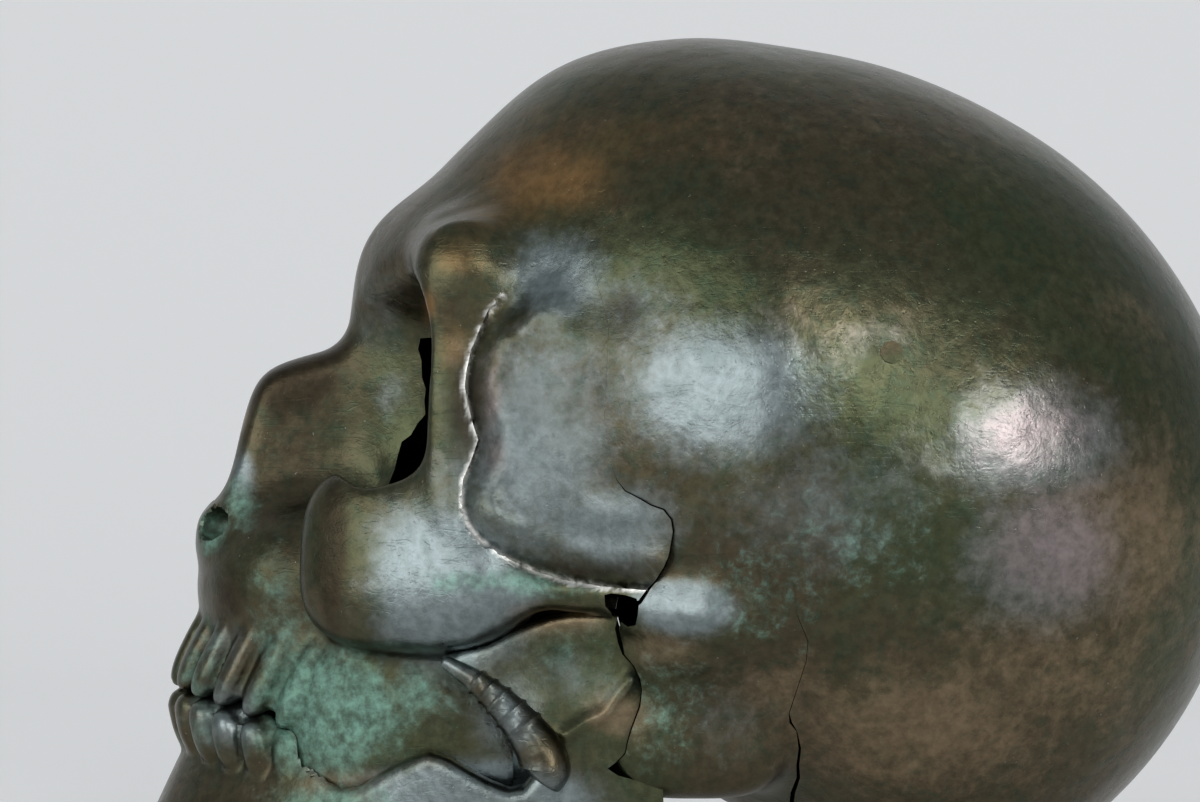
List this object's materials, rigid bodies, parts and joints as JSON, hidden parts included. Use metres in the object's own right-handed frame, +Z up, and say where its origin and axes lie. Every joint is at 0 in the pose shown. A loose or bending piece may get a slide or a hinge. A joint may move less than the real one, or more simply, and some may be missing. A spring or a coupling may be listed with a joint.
{
  "type": "bronze skull sculpture",
  "caption": "Life-size human skull sculpture, thin bronze castings fitted and pinned together, resting on its jaw and the back of the head.",
  "frame": {"origin": "middle of the footprint of the whole sculpture, on the table it stands on", "axes": "the face looks along -X, the back of the head is at +X, the left side of the head is at -Y, +Z is up"},
  "size_m": [0.2288, 0.146, 0.176],
  "materials": {
    "cranium_skin": "satin brown and olive green patina on bronze",
    "face_skin": "satin brown patina on bronze, worn grey on the cheekbones",
    "temple_skin": "satin grey-green patina on bronze",
    "ear_skin": "satin green-brown patina on bronze",
    "jaw_skin": "satin verdigris patina on bronze",
    "strut_skin": "worn brown patina on bronze",
    "eye_cup_skin": "dark satin patina on bronze",
    "base_skin": "dull brown patina on bronze",
    "fixing": "raw cast and turned bronze",
    "plug": "filed flush and patinated with the skin"
  },
  "bodies": {
    "root": {"cranium_casting": "cranium_skin", "face_casting": "face_skin", "base_casting": "base_skin", "jaw_casting": "jaw_skin", "temple_plate_left": "temple_skin", "ear_panel_left": "ear_skin", "eye_cup_left": "eye_cup_skin", "jaw_strut_left": "strut_skin", "temple_plate_right": "temple_skin", "ear_panel_right": "ear_skin", "eye_cup_right": "eye_cup_skin", "jaw_strut_right": "strut_skin", "temple_strap_left": "fixing", "jaw_seam_strap_left": "fixing", "ear_strap_left": "fixing", "temple_strap_right": "fixing", "jaw_seam_strap_right": "fixing", "ear_strap_right": "fixing", "brow_strap": "fixing", "base_strap_front": "fixing", "base_strap_back": "fixing", "temple_pin_left_front": "fixing", "temple_pin_left_back": "fixing", "jaw_seam_pin_left_front": "fixing", "jaw_seam_pin_left_back": "fixing", "ear_pin_left_front": "fixing", "ear_pin_left_back": "fixing", "temple_pin_right_front": "fixing", "temple_pin_right_back": "fixing", "jaw_seam_pin_right_front": "fixing", "jaw_seam_pin_right_back": "fixing", "ear_pin_right_front": "fixing", "ear_pin_right_back": "fixing", "brow_pin_front": "fixing", "brow_pin_back": "fixing", "base_pin_front_front": "fixing", "base_pin_front_back": "fixing", "base_pin_back_front": "fixing", "base_pin_back_back": "fixing", "jaw_dowel_left": "fixing", "jaw_dowel_right": "fixing", "core_plug_front_left": "plug", "core_plug_top_left": "plug", "core_plug_back_left": "plug", "core_plug_low_left": "plug", "core_plug_front_right": "plug", "core_plug_top_right": "plug", "core_plug_back_right": "plug", "core_plug_low_right": "plug"}
  },
  "joints": []
}
